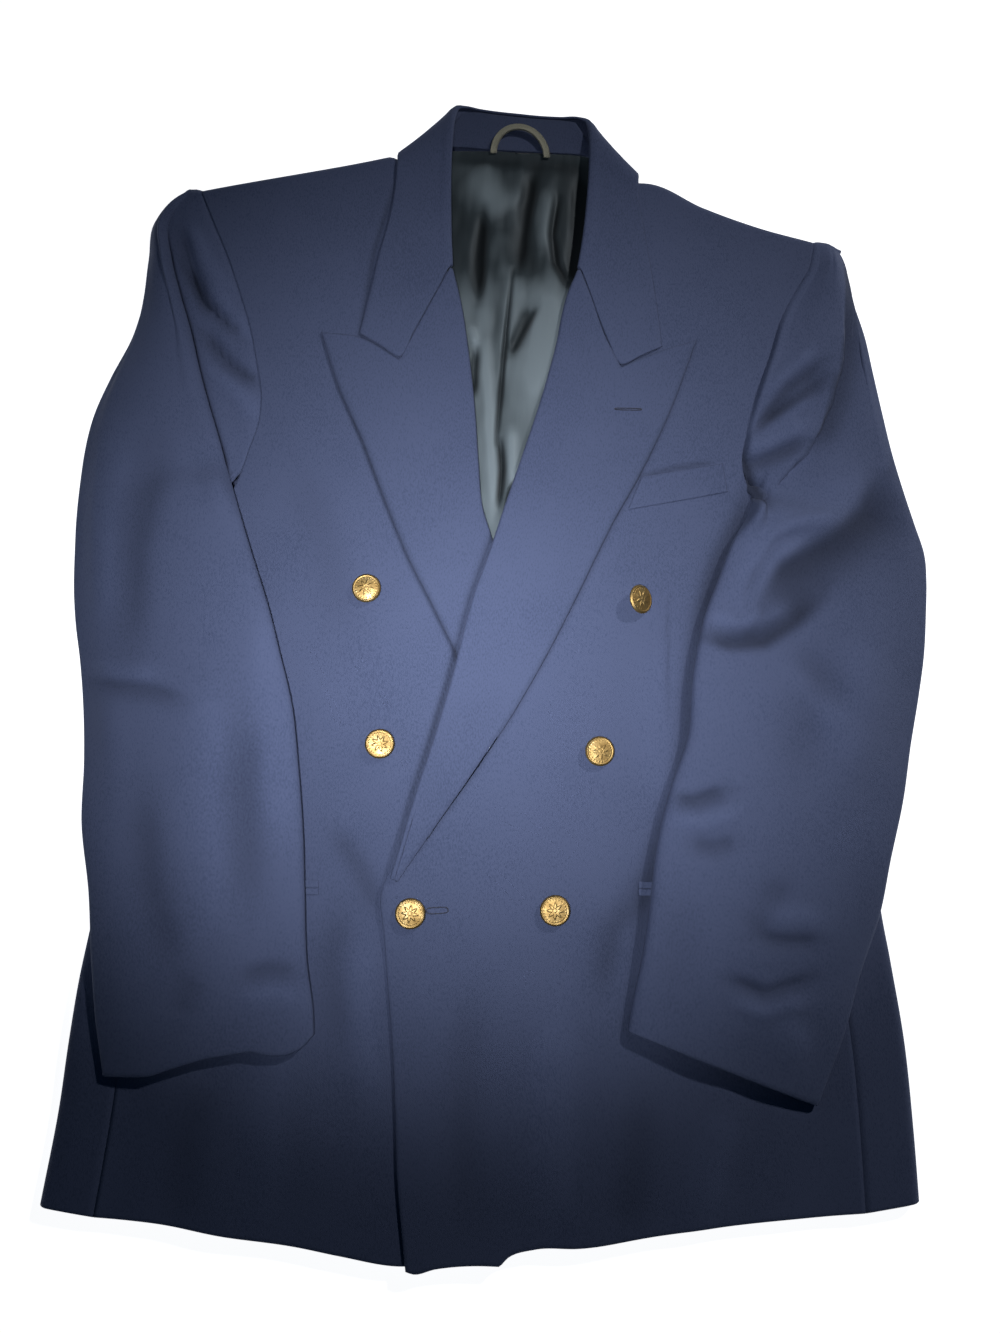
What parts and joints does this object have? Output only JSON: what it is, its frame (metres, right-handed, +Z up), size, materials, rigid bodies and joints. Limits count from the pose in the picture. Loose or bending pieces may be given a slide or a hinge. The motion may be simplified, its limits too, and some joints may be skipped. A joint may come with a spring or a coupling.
{
  "type": "double breasted blazer",
  "caption": "Double breasted tailored jacket with peak lapels, fold-over collar, set-in sleeves and domed metal buttons, laid flat on its back.",
  "frame": {"origin": "centre of the plan at the underside of the back, where it lies on the surface", "axes": "+Z up from the surface out of the fronts, +Y from hem to collar, +X towards the wearer's left sleeve"},
  "size_m": [0.6322, 0.8584, 0.0306],
  "materials": {
    "wool": "dark navy worsted wool, fine twill, matte",
    "lining": "dark grey-green satin lining, soft sheen",
    "brass_buttons": "gilt, a little worn, paler on the raised rims",
    "loop_strap": "woven strap, grey-gold"
  },
  "bodies": {
    "root": {"back_right": "wool", "back_left": "wool", "side_right": "wool", "side_left": "wool", "front_right": "wool", "front_left": "wool", "lapel_right": "wool", "lapel_left": "wool", "collar": "wool", "collar_stand": "wool", "sleeve_right_top": "wool", "sleeve_left_top": "wool", "sleeve_right_under": "wool", "sleeve_left_under": "wool", "breast_welt": "wool", "pocket_jet_left_upper": "wool", "pocket_jet_left_lower": "wool", "pocket_jet_right_upper": "wool", "pocket_jet_right_lower": "wool", "back_lining": "lining", "hanging_loop": "loop_strap", "button_right_upper": "brass_buttons", "button_right_middle": "brass_buttons", "button_right_lower": "brass_buttons", "button_left_upper": "brass_buttons", "button_left_middle": "brass_buttons", "button_left_lower": "brass_buttons"}
  },
  "joints": []
}
